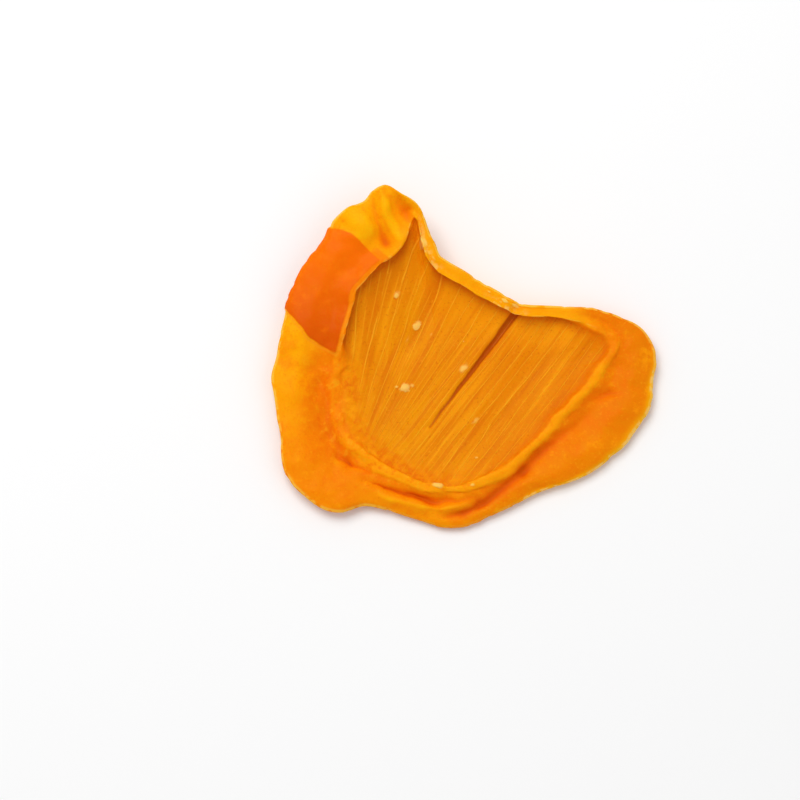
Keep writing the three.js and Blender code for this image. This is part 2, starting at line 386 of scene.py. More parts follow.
def way_round(a, b):
    """Share of the way round a square, clockwise from its back left corner."""
    reach = np.maximum(np.maximum(abs(a), abs(b)), 1e-9)
    u, v = a / reach, b / reach
    back, right, front = v > 1 - 1e-6, u > 1 - 1e-6, v < -1 + 1e-6
    sides = [(u + 1) / 8, 0.25 + (1 - v) / 8, 0.5 + (1 - u) / 8]
    return np.select([back, right, front], sides, 0.75 + (v + 1) / 8) % 1.0, reach


share, reach = way_round(a, b)
foot, heel, curl, width, soft, spine = section(share)
row = (1 - c) / 2 * ROWS
print("band from", round(float(width.min()), 1), "to", round(float(width.max()), 1), "mm wide")

# %% Across the lip, the band and the edge
# Zone numbers across the slice: 0 to 1 the face, 1 its foot, 2 the lip, 3 the edge, 4 the heel
ZONE_AT_POINT = np.array([0.88, 1, 1.5, 2, 2.28, 2.66, 2.95, 3, 3.05, 4, 4.3, 4.6, 5])
starts = FACE_ROWS + np.concatenate([[0], np.cumsum(SPAN_ROWS)])
span_place = np.interp(row, starts, np.arange(1, len(starts) + 1))
i = np.clip(span_place.astype(int), 1, len(spine) - 2)
w = np.clip(span_place - i, 0, 1)[:, None]
last = len(spine) - 1
every = np.arange(count)
beyond = 2 * spine[last] - spine[last - 1]
after = np.where((i + 2 <= last)[:, None], spine[np.minimum(i + 2, last), every], beyond)
place = catmull(spine[i - 1, every], spine[i, every], spine[i + 1, every], after, w)
zone = np.interp(span_place, np.arange(len(spine)), ZONE_AT_POINT)
print("points on the band:", int(((zone > 2) & (zone < 3)).sum()))

# %% Across the face and the underside
on_top, below = c > 1 - 1e-6, c < -1 + 1e-6
on_face = row <= FACE_ROWS
part = np.where(on_top, FACE_BLOCK * reach, FACE_BLOCK + (1 - FACE_BLOCK) * row / FACE_ROWS)
place = np.where(on_face[:, None], face_point(foot, part[:, None], curl), place)
zone = np.where(on_face, part, zone)
part = BASE_BLOCK * reach
place = np.where(below[:, None], base_point(heel, part[:, None]), place)
zone = np.where(below, 6 - reach, zone)
print("slice before relief, mm:", (place.max(axis=0) - place.min(axis=0)).round(1))

# %% [markdown]
# Grooves, creases and folds
#
# The groove across the face is the fruit's core. The softer dips beside it were seed chambers.
# Near the tip the band is puckered into two folds, and creases run just outside the lip. Each is
# a line through a few points with half widths and depths along it, so it can be judged against the
# real slice one at a time. A negative depth is a swelling.

# %% Long dips in the upper side
CORE = (
    [(-8.3, -11.6), (-2.0, -3.2), (3.4, 4.0), (8.3, 10.4)],
    [0.34, 0.44, 0.55, 0.72],
    [0.3, 0.55, 0.75, 0.95],
)
CHAMBERS = [
    ([(-14.0, 2.0), (-10.9, 6.1), (-6.4, 16.8)], [1.6, 2.2], [0.15, 0.4, 0.5]),
    ([(2.5, -12.5), (15.0, 4.5)], [2.6, 2.6], [0.15, 0.2]),
]
CREASES = [
    ([(-19.3, 31.0), (-18.4, 27.0), (-16.2, 23.0)], [0.6, 1.5], [0.3, 0.6, 0.9]),
    ([(-15.2, 32.0), (-13.0, 28.6), (-12.2, 26.6)], [1.4, 1.1], [0.2, 0.6, 0.4]),
    ([(-17.3, 32.0), (-16.2, 28.0), (-14.6, 23.6)], [1.0, 1.4], [-0.4, -0.9, -0.8]),
    ([(-23.6, 28.4), (-20.6, 25.4)], [2.2, 2.2], [-0.5, -0.8]),
    ([(-25.9, -17.2), (-22.9, -19.0), (-19.3, -20.5)], [0.5, 0.5], [0.3, 0.6, 0.2]),
    (
        [(-20.8, -21.8), (-17.0, -23.1), (-13.2, -24.3), (-10.1, -25.1), (-6.4, -26.0), (0.9, -25.3)],
        [0.45, 0.8],
        [0.3, 0.8, 0.9, 1.2, 0.7, 0.3],
    ),
    (
        [(-5.8, -28.8), (-2.4, -28.0), (2.0, -26.0), (5.5, -23.1), (9.2, -20.1)],
        [0.8, 1.3],
        [0.4, 0.9, 1.0, 0.9, 0.6],
    ),
    ([(-9.5, -26.9), (-5.6, -27.1), (-0.5, -26.4)], [0.7, 0.7], [-0.2, -0.5, -0.3]),
    ([(-19.6, -23.9), (-15.5, -25.6), (-9.9, -26.9)], [0.8, 0.9], [-0.2, -0.45, -0.3]),
    ([(9.0, -19.8), (12.8, -16.4), (16.0, -13.6), (21.3, -9.6)], [1.3, 0.9], [0.6, 0.8, 0.6, 0.3]),
    ([(23.0, -6.4), (25.5, -5.2), (28.5, -5.4)], [0.7, 0.9], [0.3, 0.6, 0.1]),
    (
        [(-31.0, 0.2), (-28.9, -3.1), (-27.7, -8.0), (-27.1, -13.7), (-23.6, -18.6)],
        [1.0, 1.0],
        [0.1, 0.35, 0.3, 0.4, 0.4],
    ),
]


def along_line(x, y, points):
    """Distance to a line through points, and how far along it the nearest place is, 0 to 1."""
    best, best_part = np.full(x.shape, 1e9), np.zeros(x.shape)
    for i, (start, end) in enumerate(zip(points, points[1:])):
        step = np.subtract(end, start)
        part = ((x - start[0]) * step[0] + (y - start[1]) * step[1]) / (step @ step)
        part = np.clip(part, 0, 1)
        distance = np.hypot(x - start[0] - step[0] * part, y - start[1] - step[1] * part)
        nearer = distance < best
        best = np.where(nearer, distance, best)
        best_part = np.where(nearer, (i + part) / (len(points) - 1), best_part)
    return best, best_part


def dip(x, y, line, halves, depths, sharpness=2):
    distance, part = along_line(x, y, line)
    half = np.interp(part, np.linspace(0, 1, len(halves)), halves)
    depth = np.interp(part, np.linspace(0, 1, len(depths)), depths)
    return depth * np.exp(-((distance / half) ** sharpness))


x, y = place[:, 0].copy(), place[:, 1].copy()
wander = 0.35 * ripple(place, 2.4, 21.7)
upper = zone < 3
core = np.where(upper, dip(x + wander * 0.25, y, *CORE, sharpness=3), 0)
chambers = np.where(upper, sum(dip(x, y, *chamber) for chamber in CHAMBERS), 0)
creases = np.where(upper, sum(dip(x + wander, y + wander, *crease) for crease in CREASES), 0)
place[:, 2] = np.maximum(place[:, 2] - core - chambers - creases, 0)
print("depth of core line and creases:", round(core.max(), 2), round(creases.max(), 2), "mm")

# %% [markdown]
# Settle the slice in its frame
#
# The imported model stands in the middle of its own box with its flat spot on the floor, so the
# slice is slid until the two boxes share a middle. Millimetres are turned into metres only where
# the points are handed to the mesh.

# %% Put the slice where the model is
shift = (np.array(low[:2]) + np.array(high[:2])) / 2 / MM
shift = shift - (place[:, :2].max(axis=0) + place[:, :2].min(axis=0)) / 2
frame_place = place + np.array([*shift, 0])


def set_points(points_mm):
    mesh.vertices.foreach_set("co", (points_mm * MM).astype(np.float32).ravel())
    mesh.update()


set_points(frame_place)
bpy.ops.object.shade_smooth()
print("slid by", shift.round(2), "mm")

# %% [markdown]
# Fine relief
#
# Dried flesh is never smooth: fibres stand out of the face, the lip is wavy, the band has soft
# wrinkles. Where the lip is soft a narrow ridge stands on it, wider in front and almost gone along
# the left. These are a few tenths of a millimetre high, enough to catch light, so they are moved
# along the surface's own direction instead of being left to the material. The fibres run side by
# side along the core and fan out to the left of it, so each point is given its place across and
# along them.

# %% Place across and along the fibres
FIBRE_LEAN = 0.76  # how far a fibre goes sideways for each millimetre back
FAN = 0.032  # how much more the fibres spread for each millimetre back
FAN_START = -4.0  # and where they start to, left of the core
fan_lean = FIBRE_LEAN - FAN * FAN_START
fibre_x = x - FIBRE_LEAN * y
fanned = (x - fan_lean * y) / np.maximum(1 + FAN * y, 0.35)
fibre_x = np.where(fibre_x < FAN_START, fanned, fibre_x)
fibre_y = 0.6 * x + 0.8 * y
fibre = np.column_stack([fibre_x, fibre_y, np.where(upper, 0, 40)])
print("slice across its fibres:", round(float(np.ptp(fibre_x))), "mm")

# %% Relief along the surface
FIBRE_LENGTH = [1.0, 14.0, 1.0]
HAIR_LENGTH = [1.0, 10.0, 1.0]
RIDGE_HEIGHT = 0.34
RIDGE_ON_LEFT = 0.2  # share of that height that is left along the left

on_cut = np.maximum(1 - ramp(zone, 0.9, 1.3), ramp(zone, 3.9, 4.3))
on_band = ramp(zone, 2.0, 2.3) * (1 - ramp(zone, 2.85, 3.0))
on_lip = ramp(zone, 1.2 - 0.4 * soft, 1.9) * (1 - ramp(zone, 2.0, 2.4 + 0.2 * soft))
margin = soft * ramp(zone, 0.6, 0.9) * ramp(zone, 2.3, 1.6)

# What it is on, the points it follows, height and size of its waves in millimetres, seed
WRINKLES = [
    (on_cut, fibre / FIBRE_LENGTH, 0.05, 1.1, 5.2),
    (on_cut, fibre / HAIR_LENGTH, 0.012, 0.5, 9.4),
    (on_cut, place, 0.10, 6.0, 1.7),
    (on_band, place, 0.36, 5.5, 2.3),
    (on_band, place, 0.1, 1.8, 4.9),
    (on_lip, place, 0.26, 2.8, 6.1),
    (on_lip, place, 0.12, 1.1, 7.7),
    (margin, place, 0.1, 0.9, 15.2),
]
relief = sum(part * tall * ripple(points, size, seed) for part, points, tall, size, seed in WRINKLES)

along_left = ramp(x, -18, -23) * ramp(y, -18, -12)
at_front = ramp(y, -16.5, -20.5)
past_lip = (zone - 2) * width
ridge = ramp(zone + 0.2 * at_front, 1.25, 1.75)
ridge = ridge * ramp(past_lip, 1.6 + 1.4 * at_front, 0.6 + 1.3 * at_front)
relief += RIDGE_HEIGHT * soft * ridge * (1 - (1 - RIDGE_ON_LEFT) * along_left)
print("relief from", round(float(relief.min()), 2), "to", round(float(relief.max()), 2), "mm")

# %% [markdown]
# The strip of skin
#
# The peeler's two passes left a strip of skin between two nearly straight cuts. It sits proud of
# the flesh, with a crisp peeled edge. Its outline is held as a distance in millimetres, positive
# inside it, and the material will read the same number, so the colour stops exactly where the step
# is. A separate sheet laid on the band would show a gap along its edge.

# %% Strip of skin
SKIN_THICKNESS = 0.32
SKIN_FROM_LIP = 1.0  # the strip starts this far outside the lip
SKIN_RIGHT = -12  # and goes no further right than this
SKIN_CUTS = [
    ((-36.5, 11.6), (-31.0, 4.6)),
    ((-31.0, 4.6), (-24.0, 0.9)),
    ((-16.4, 18.3), (-22.9, 24.7)),
    ((-22.9, 24.7), (-28.6, 26.3)),
]


def inside_of(start, end):
    """Signed distance to a line, positive on the left as seen from its start."""
    along = np.subtract(end, start)
    along = along / np.hypot(*along)
    return along[0] * (y - start[1]) - along[1] * (x - start[0])


skin = np.minimum.reduce([SKIN_RIGHT - x, *(inside_of(start, end) for start, end in SKIN_CUTS)])
skin += 0.25 * ripple(place, 2.2, 11.3)
skin = np.minimum(skin, past_lip - SKIN_FROM_LIP)
skin = np.where(zone < 3.6, skin, -5)
relief += SKIN_THICKNESS * ramp(skin, -0.1, 0.25)
print("points on the skin:", int((skin > 0).sum()))

# %% [markdown]
# Crumbs
#
# Pale crumbs of pulp dried onto the face and the rim. Separate lumps would need joining to the
# slice, so the surface itself is raised where one lies. Each is a place, two half sizes, a turn in
# degrees and a height.

# %% Crumbs on the face and the rim
CRUMBS = [
    (-13.0, -4.2, 1.2, 1.0, 0, 0.4),
    (-14.5, -3.9, 0.6, 0.35, 10, 0.14),
    (-11.6, -3.7, 0.5, 0.6, 0, 0.14),
    (-10.7, 7.9, 1.25, 0.7, 62, 0.35),
    (-14.5, 13.7, 0.9, 0.65, 65, 0.2),
    (-1.8, -0.3, 1.3, 0.7, 55, 0.16),
    (0.4, -10.4, 1.1, 0.5, 35, 0.1),
    (-12.5, 5.3, 1.1, 0.35, 62, 0.08),
    (-7.9, 6.3, 0.8, 0.3, 62, 0.08),
    (-1.8, 4.8, 0.2, 0.2, 0, 0.2),
    (0.5, -17.5, 0.35, 0.3, 0, 0.2),
    (-6.8, -23.0, 1.25, 0.4, -8, 0.25),
    (-0.3, -22.8, 0.55, 0.45, 0, 0.2),
    (-9.4, 22.6, 1.3, 0.7, 110, 0.2),
    (-7.6, 19.6, 0.7, 0.35, 125, 0.12),
    (2.8, 13.4, 0.5, 0.3, -30, 0.2),
    (5.9, 11.7, 0.8, 0.4, -30, 0.25),
    (7.9, 10.9, 0.8, 0.5, -20, 0.2),
]

crumb = np.full(count, -5.0)
crumb_noise = 0.3 * ripple(place, 0.8, 13.9) + 0.12 * ripple(place, 0.35, 3.3)
for cx, cy, long, wide, turn, tall in CRUMBS:
    cos, sin = math.cos(math.radians(turn)), math.sin(math.radians(turn))
    along, aside = (x - cx) * cos + (y - cy) * sin, (y - cy) * cos - (x - cx) * sin
    inside = 1 - np.hypot(along / long, aside / wide) - crumb_noise
    crumb = np.where(upper, np.maximum(crumb, inside * min(1, tall / 0.35)), crumb)
    relief += np.where(upper, tall * ramp(inside, 0, 0.6), 0)
print("points on crumbs:", int((crumb > 0).sum()))

# %% Move the points along the surface
FLAT_SPOT = 0.12  # height under which the underside is left alone, so that it stays flat
normal = np.empty(count * 3)
mesh.vertices.foreach_get("normal", normal)
normal = normal.reshape(-1, 3)
resting = ramp(zone, 3.6, 4.2) * (frame_place[:, 2] < FLAT_SPOT)
final = frame_place + normal * (relief * (1 - resting))[:, None]
final[:, 2] = np.maximum(final[:, 2], 0)
set_points(final)
print("slice, mm:", (final.max(axis=0) - final.min(axis=0)).round(1))

# %% [markdown]
# Numbers for the material
#
# The colour of dried flesh follows its shape, so the material has to know what lies where. Painting
# a picture for it would need a flat map of the slice. The numbers that shaped the slice are stored
# with its points instead, so the colour and the shape can't drift apart.

# %% Store the numbers with the points
numbers = {"zone": zone, "skin": skin, "crumb": crumb, "core": core, "crease": creases}
numbers.update({"rim": width, "soft": soft, "chamber": chambers})
for name, values in numbers.items():
    layer = mesh.attributes.new(name, "FLOAT", "POINT")
    layer.data.foreach_set("value", values.astype(np.float32))
mesh.attributes.new("fibre", "FLOAT_VECTOR", "POINT").data.foreach_set(
    "vector", fibre.astype(np.float32).ravel()
)
print("numbers at each point:", sorted(numbers), "and fibre")

# %% [markdown]
# Writing a material as sums
#
# A material's maths is easier to read as Python than as a web of nodes. A small class wraps a
# socket, so that 1 - mask or mask * 0.5 adds the Math node it needs, and one method adds every
# other kind of node.

# %% Material maths
def colour(red, green, blue):
    """A colour as a camera would give it, 0 to 255, in the renderer's linear numbers."""
    parts = [v / 255 for v in (red, green, blue)]
    return (*[v / 12.92 if v < 0.04 else ((v + 0.055) / 1.055) ** 2.4 for v in parts], 1.0)


class Wire:
    def __init__(self, paint, socket):
        self.paint = paint
        self.socket = socket

    def maths(self, operation, first, second):
        return self.paint.add("ShaderNodeMath", {"operation": operation}, {0: first, 1: second})

    def __add__(self, other):
        return self.maths("ADD", self, other)

    def __sub__(self, other):
        return self.maths("SUBTRACT", self, other)

    def __rsub__(self, other):
        return self.maths("SUBTRACT", other, self)

    def __mul__(self, other):
        return self.maths("MULTIPLY", self, other)

    __radd__ = __add__
    __rmul__ = __mul__


class Paint:
    def __init__(self, name):
        self.material = bpy.data.materials.new(name)
        self.material.use_nodes = True
        self.tree = self.material.node_tree
        self.tree.nodes.clear()

    def add(self, kind, settings=None, sockets=None, output=0):
        node = self.tree.nodes.new(kind)
        for key, value in (settings or {}).items():
            setattr(node, key, value)
        for key, value in (sockets or {}).items():
            if isinstance(value, Wire):
                self.tree.links.new(value.socket, node.inputs[key])
            else:
                node.inputs[key].default_value = value
        return Wire(self, node.outputs[output]) if node.outputs else None

    def ramp(self, value, start, end):
        """0 below start, 1 above end, smooth between; start may be the larger."""
        sockets = {"Value": value, "From Min": start, "From Max": end}
        return self.add("ShaderNodeMapRange", {"interpolation_type": "SMOOTHSTEP"}, sockets)

    def noise(self, vector, scale, detail=2.0, roughness=0.5):
        sockets = {"Vector": vector, "Scale": scale, "Detail": detail, "Roughness": roughness}
        return self.add("ShaderNodeTexNoise", {}, sockets)

    def stretch(self, vector, scale):
        settings = {"operation": "MULTIPLY"}
        return self.add("ShaderNodeVectorMath", settings, {0: vector, 1: scale})

    def mix(self, factor, below, above):
        """Colour: below where the factor is 0, above where it is 1."""
        sockets = {0: factor, 6: below, 7: above}
        return self.add("ShaderNodeMix", {"data_type": "RGBA"}, sockets, 2)

    def coats(self, below, layers):
        """Colours laid over one another: each is where it is, how strong, and its colour."""
        for mask, strength, shade in layers:
            below = self.mix(mask * strength, below, colour(*shade))
        return below

    def lines(self, across, half):
        """Thin lines one unit apart, counted along the given number."""
        part = self.add("ShaderNodeMath", {"operation": "FRACT"}, {0: across})
        return self.ramp(part, 0.5 - half, 0.5) * self.ramp(part, 0.5 + half, 0.5)

    def read(self, name, output=2):
        return self.add("ShaderNodeAttribute", {"attribute_name": name}, {}, output)


print("ripe orange:", [round(v, 3) for v in colour(240, 140, 6)])

# %% [markdown]
# Dried persimmon flesh
#
# The flesh is one translucent stuff whose colour changes with how it dried: amber and streaked
# where it was cut, smooth bright orange where it was the outside of the fruit, pale where it ran
# out thin. Light and shade are painted into it as well: painted shade in red-brown in the creases,
# at the feet of the walls, beside the wall under the skin and in the valley outside the lip, and
# painted light on the lip's crest, on the swellings, along the back wall and as a glow along the
# thin front right edge. Separate materials would leave hard seams, so one material mixes the
# colours, led by the zone numbers that the mesh carries.

# %% Where things are
flesh = Paint("dried_persimmon")
where = flesh.add("ShaderNodeTexCoord", {}, {}, 3)
x_mm = flesh.add("ShaderNodeSeparateXYZ", {}, {0: where}, 0) * 1000
y_mm = flesh.add("ShaderNodeSeparateXYZ", {}, {0: where}, 1) * 1000
millimetres = flesh.stretch(where, (1000, 1000, 1000))
fibre_wire = flesh.read("fibre", 1)
soft_wire = flesh.read("soft")
rim_wire = flesh.read("rim")
skin_wire = flesh.read("skin")
even_zone = flesh.read("zone")
ragged = flesh.noise(millimetres, 0.8, 3.0, 0.6) - 0.5
zone_wire = even_zone + ragged * soft_wire * 0.8
cut_face = 1 - flesh.ramp(zone_wire, 0.95 - soft_wire * 0.1, 1.35 + soft_wire * 0.5)
underside = flesh.ramp(zone_wire, 3.4, 3.9)
cut = cut_face + underside
in_front = flesh.ramp(y_mm, -17.5, -21.5)
to_right = flesh.ramp(x_mm, -20.0, 8.0)
print("places on the slice, nodes:", len(flesh.tree.nodes))

# %% [markdown]
# Cut flesh
#
# Cut across its fibres the flesh is amber, with darker and lighter streaks and fine pale veins that
# run with the fibres and break off here and there. Noise stretched along the fibres gives the
# streaks, and evenly spaced lines that sway give the veins. Towards the soft lip the fibres give
# way to blots. The core is red-brown where it is deep.

# %% Patterns of the flesh
across = flesh.add("ShaderNodeSeparateXYZ", {}, {0: fibre_wire}, 0)
streaks = flesh.noise(flesh.stretch(fibre_wire, (0.5, 0.04, 1)), 1.0, 3.0, 0.55)
hairs = flesh.noise(flesh.stretch(fibre_wire, (2.4, 0.035, 1)), 1.0, 1.0, 0.5)
sway = flesh.noise(flesh.stretch(fibre_wire, (0.16, 0.03, 1)), 1.0, 1.0)
waver = flesh.noise(flesh.stretch(fibre_wire, (0.5, 0.12, 1)), 1.0, 1.0)
breaks = flesh.noise(millimetres, 0.14, 2.0)
specks = flesh.noise(millimetres, 2.2, 2.0, 0.6)
clouds = flesh.noise(millimetres, 0.09, 2.0)
blots = flesh.noise(millimetres, 0.55, 3.0, 0.7)
by_left = flesh.ramp(x_mm, 5.0, -8.0) * flesh.ramp(even_zone, 3.0, 2.6)
face_margin = flesh.ramp(even_zone, 0.76, 1.0) * soft_wire * by_left
fibrous = 1 - face_margin * 0.8
shown = flesh.ramp(breaks, 0.36, 0.5) * fibrous
fine_shown = flesh.ramp(breaks, 0.6, 0.46) * fibrous
vein = flesh.lines(across * 0.4 + sway * 1.1 + waver * 0.35, 0.055) * shown
fine_vein = flesh.lines(across * 0.9 - sway * 1.4 + waver * 0.5, 0.11) * fine_shown
print("patterns of the flesh, nodes:", len(flesh.tree.nodes))

# %% Colour of the cut faces, with painted light and shade by the walls
near_wall = flesh.ramp(even_zone, 0.5, 0.85) * (1 - soft_wire)
# Painted light: the face is painted lighter along the back wall, to lift the shade that the wall
# casts on it.
painted_light_by_back_wall = near_wall * flesh.ramp(x_mm, -10.0, 2.0)
# Painted shade: the face is painted darker beside the wall under the strip of skin.
painted_shade_by_skin_wall = near_wall * flesh.ramp(x_mm, -8.0, -13.0)
rightward = flesh.ramp(x_mm, -12.0, 8.0)
cut_colour = flesh.mix(rightward, colour(237, 147, 2), colour(232, 133, 1))
cut_colour = flesh.coats(cut_colour, [
    (painted_light_by_back_wall, 0.7, (250, 158, 10)),
    (painted_shade_by_skin_wall, 0.6, (220, 118, 3)),
    (flesh.ramp(clouds, 0.52, 0.36), 0.5, (228, 126, 2)),
    (flesh.ramp(streaks, 0.5, 0.3) * fibrous, 0.65, (218, 108, 2)),
    (flesh.ramp(streaks, 0.5, 0.7) * fibrous, 0.65, (248, 160, 10)),
    (flesh.ramp(hairs, 0.38, 0.26) * fibrous, 0.3, (206, 92, 2)),
    (flesh.ramp(flesh.read("chamber"), 0.1, 0.45), 0.45, (212, 98, 2)),
    (flesh.ramp(specks, 0.6, 0.78), 0.5, (252, 168, 36)),
    (flesh.ramp(specks, 0.42, 0.26), 0.45, (200, 84, 2)),
    (face_margin, 0.5, (242, 134, 4)),
    (flesh.ramp(blots, 0.5, 0.64) * face_margin, 0.7, (226, 100, 2)),
    (flesh.ramp(blots, 0.46, 0.36) * face_margin, 0.6, (255, 162, 14)),
    (vein * 0.75 + fine_vein * 0.4, 1.0, (255, 178, 32)),
])
print("cut faces, nodes:", len(flesh.tree.nodes))

# %% Colour of the core, and painted shadow at the foot of the wall
core_wire = flesh.read("core")
in_core = flesh.ramp(core_wire, 0.08, 0.45)
core_middle = flesh.ramp(core_wire, 0.6, 0.9) * flesh.ramp(hairs, 0.5, 0.62)
core_colour = flesh.mix(core_middle * 0.6, colour(184, 76, 4), colour(240, 146, 62))
cut_colour = flesh.mix(in_core * 0.9, cut_colour, core_colour)
# Painted shadow: a red-brown strip along the foot of the steep walls.
painted_shadow_at_wall_foot = flesh.ramp(even_zone, 0.9, 1.0) * flesh.ramp(even_zone, 1.8, 1.3) * (1 - soft_wire)
cut_colour = flesh.coats(cut_colour, [(painted_shadow_at_wall_foot, 0.5, (206, 82, 2))])
print("cut faces and core, nodes:", len(flesh.tree.nodes))

# %% [markdown]
# Band, lip and edge
#
# The band goes from yellow-orange at the left to a deeper orange at the right. Just outside the lip
# it is painted redder, as painted shade in the valley there. The crest of the lip carries a painted
# highlight, and the thin edge dried palest, with a painted glow along it at the front right.
# Each of these is one coat over the one before, so any of them can be turned down alone.

# %% Colour of the band, with painted shade in the valley outside the lip
mottle = flesh.noise(millimetres, 0.22, 4.0, 0.65)
# Darker towards the right: partly the band's deeper tone, partly painted shade outside the ridge.
far_right = flesh.ramp(x_mm, 13.0, 26.0) * flesh.ramp(y_mm, -17.0, -9.0)
low_left = flesh.ramp(y_mm, 2.0, -14.0) * (1 - to_right)
# Painted shade: the inner band, in the valley just outside the lip, is painted redder, unevenly and
# more at the lower left.
inner_band = flesh.ramp(zone_wire, 2.7, 2.25) * (1 - flesh.ramp(y_mm, 15.0, 20.0) * 0.7)
inner_band = inner_band * (1 - in_front * 0.6)
uneven_valley_shade = inner_band * flesh.ramp(clouds, 0.32, 0.62) * 0.35 + inner_band * 0.45
front_band = flesh.ramp(y_mm, -24.5, -27.0) * flesh.ramp(x_mm, -22.0, -17.0)
front_band = front_band * flesh.ramp(x_mm, 2.0, -5.0)
outer_left = flesh.ramp(even_zone, 2.45, 2.85) * flesh.ramp(x_mm, -26.0, -33.0)
outer_left = outer_left * flesh.ramp(y_mm, -24.0, -12.0)
band_colour = flesh.mix(to_right, colour(255, 168, 1), colour(241, 134, 1))
band_colour = flesh.coats(band_colour, [
    (far_right, 0.6, (232, 124, 1)),
    (low_left, 0.75, (244, 124, 1)),
    (uneven_valley_shade, 1 - to_right * 0.35, (244, 118, 1)),
    (inner_band * low_left, 0.4, (238, 114, 1)),
    (front_band, 0.5, (255, 156, 6)),
    (outer_left, 0.55, (255, 170, 2)),
    (flesh.ramp(mottle, 0.5, 0.66), 0.4, (242, 112, 1)),
    (flesh.ramp(mottle, 0.46, 0.32), 0.6, (255, 164, 8)),
    (flesh.ramp(specks, 0.56, 0.76), 0.35, (255, 172, 30)),
    (flesh.ramp(specks, 0.42, 0.26), 0.3, (228, 94, 1)),
])
print("band, nodes:", len(flesh.tree.nodes))

# %% Colour of the lip and the narrow rim, with a painted highlight and glow
low_ridge = flesh.ramp(x_mm, -16.0, -21.0) * flesh.ramp(y_mm, -20.0, -13.0)
far_corner = flesh.ramp(x_mm, 22.0, 27.0) * flesh.ramp(y_mm, -3.0, 1.0)
out_from_lip = (even_zone - 2.0) * rim_wire + ragged * 2.0 - in_front * 1.3
# Painted highlight: the crest of the lip is painted lighter, as if it caught the light.
lip_crest_highlight = flesh.ramp(zone_wire + in_front * 0.2, 1.4, 1.8) * flesh.ramp(out_from_lip, 1.9, 0.9)
lip_crest_highlight = lip_crest_highlight * (1 - low_ridge * 0.6) * (1 - far_corner * 0.7)
dots = flesh.noise(millimetres, 0.75, 2.0, 0.6)
near_lip = flesh.ramp(zone_wire, 0.8, 1.3) * flesh.ramp(zone_wire, 2.5, 2.1)
near_lip = near_lip * (soft_wire - to_right * 0.7)
# Painted glow: the thin edge at the front right is painted bright yellow, as light shining through
# it.
painted_edge_glow = flesh.ramp(even_zone, 2.82, 2.96) * flesh.ramp(x_mm, 2.0, 20.0)
painted_edge_glow = painted_edge_glow * flesh.ramp(y_mm, 4.0, -6.0)
narrow_rim = flesh.ramp(rim_wire, 5.5, 3.2) * flesh.ramp(even_zone, 1.75, 1.95)
narrow_rim = narrow_rim * flesh.ramp(x_mm, 25.0, 18.0)
at_bends = flesh.ramp(x_mm, 3.0, 7.0) * flesh.ramp(x_mm, 13.0, 10.0)
at_bends = at_bends + flesh.ramp(x_mm, -9.0, -7.5) * flesh.ramp(x_mm, -3.0, -5.5)
fluff = narrow_rim * at_bends * flesh.ramp(even_zone, 2.7, 2.1) * flesh.ramp(dots, 0.46, 0.6)
by_skin = flesh.ramp(skin_wire, -1.4, -1.0) * flesh.ramp(y_mm, 0.0, 3.0)
by_skin = by_skin * flesh.ramp(even_zone, 2.3, 2.2)
band_colour = flesh.coats(band_colour, [
    (lip_crest_highlight, 0.85, (255, 160, 6)),
    (flesh.ramp(dots, 0.55, 0.68) * near_lip, 0.5, (238, 104, 2)),
    (flesh.ramp(dots, 0.46, 0.34) * near_lip, 0.5, (255, 172, 24)),
    (painted_edge_glow, 0.9, (255, 178, 3)),
    (narrow_rim, 0.9, (253, 165, 4)),
    (fluff, 0.6, (255, 205, 108)),
    (by_skin, 0.8, (248, 128, 1)),
])
print("lip and narrow rim, nodes:", len(flesh.tree.nodes))

# %% Colour of the creases and the pale edge, with painted shade and highlights
crease_wire = flesh.read("crease")
nibbled = flesh.noise(millimetres, 0.5, 2.0)
thin_edge = flesh.ramp(even_zone, 2.92, 2.965) * flesh.ramp(even_zone, 3.04, 3.0)
inner_edge = flesh.ramp(even_zone, 1.88, 1.96) * flesh.ramp(even_zone, 2.06, 2.0) * (1 - soft_wire)
along_front = flesh.ramp(x_mm, -17.0, -12.0) * flesh.ramp(y_mm, -20.0, -24.0)
pale_edge = thin_edge * flesh.ramp(nibbled, 0.35, 0.5) * (1 - along_front * 0.7)
pale_edge = pale_edge + inner_edge * flesh.ramp(nibbled, 0.45, 0.6) * 0.7
frayed = flesh.ramp(even_zone, 2.9, 2.96) * flesh.ramp(even_zone, 3.01, 2.98)
frayed = frayed * flesh.ramp(dots, 0.44, 0.56)
front_right = flesh.ramp(x_mm, 6.0, 12.0) * flesh.ramp(y_mm, 0.0, -4.0)
# Painted shade deepens in the creases and folds; painted highlights lie on the swellings, where the
# depth is negative.
band_colour = flesh.coats(band_colour, [
    (flesh.ramp(crease_wire, 0.1, 0.8), 0.8, (230, 94, 1)),
    (flesh.ramp(crease_wire, 0.55, 0.95), 0.5, (200, 72, 2)),
    (flesh.ramp(crease_wire, -0.15, -0.6), 0.9, (255, 178, 4)),
    (pale_edge, 0.7, (255, 196, 70)),
    (frayed * front_right, 0.7, (255, 206, 116)),
])
print("whole band, nodes:", len(flesh.tree.nodes))

# %% [markdown]
# Skin, crumbs and sheen
#
# The skin is a deeper, redder orange than any of the flesh and a little smoother. The crumbs are
# nearly white pulp. All of it is slightly sticky, which shows as a soft sheen, and light goes a
# millimetre or two into it, which takes the grey out of the shadows.

# %% Colour of the skin and crumbs, and painted shade at the foot of the ridge
on_skin = flesh.ramp(skin_wire, 0.0, 0.35)
skin_colour = flesh.mix(flesh.ramp(y_mm, 20.0, 2.0), colour(246, 113, 1), colour(222, 90, 1))
skin_colour = flesh.coats(skin_colour, [(flesh.ramp(mottle, 0.52, 0.7), 0.35, (255, 132, 8))])
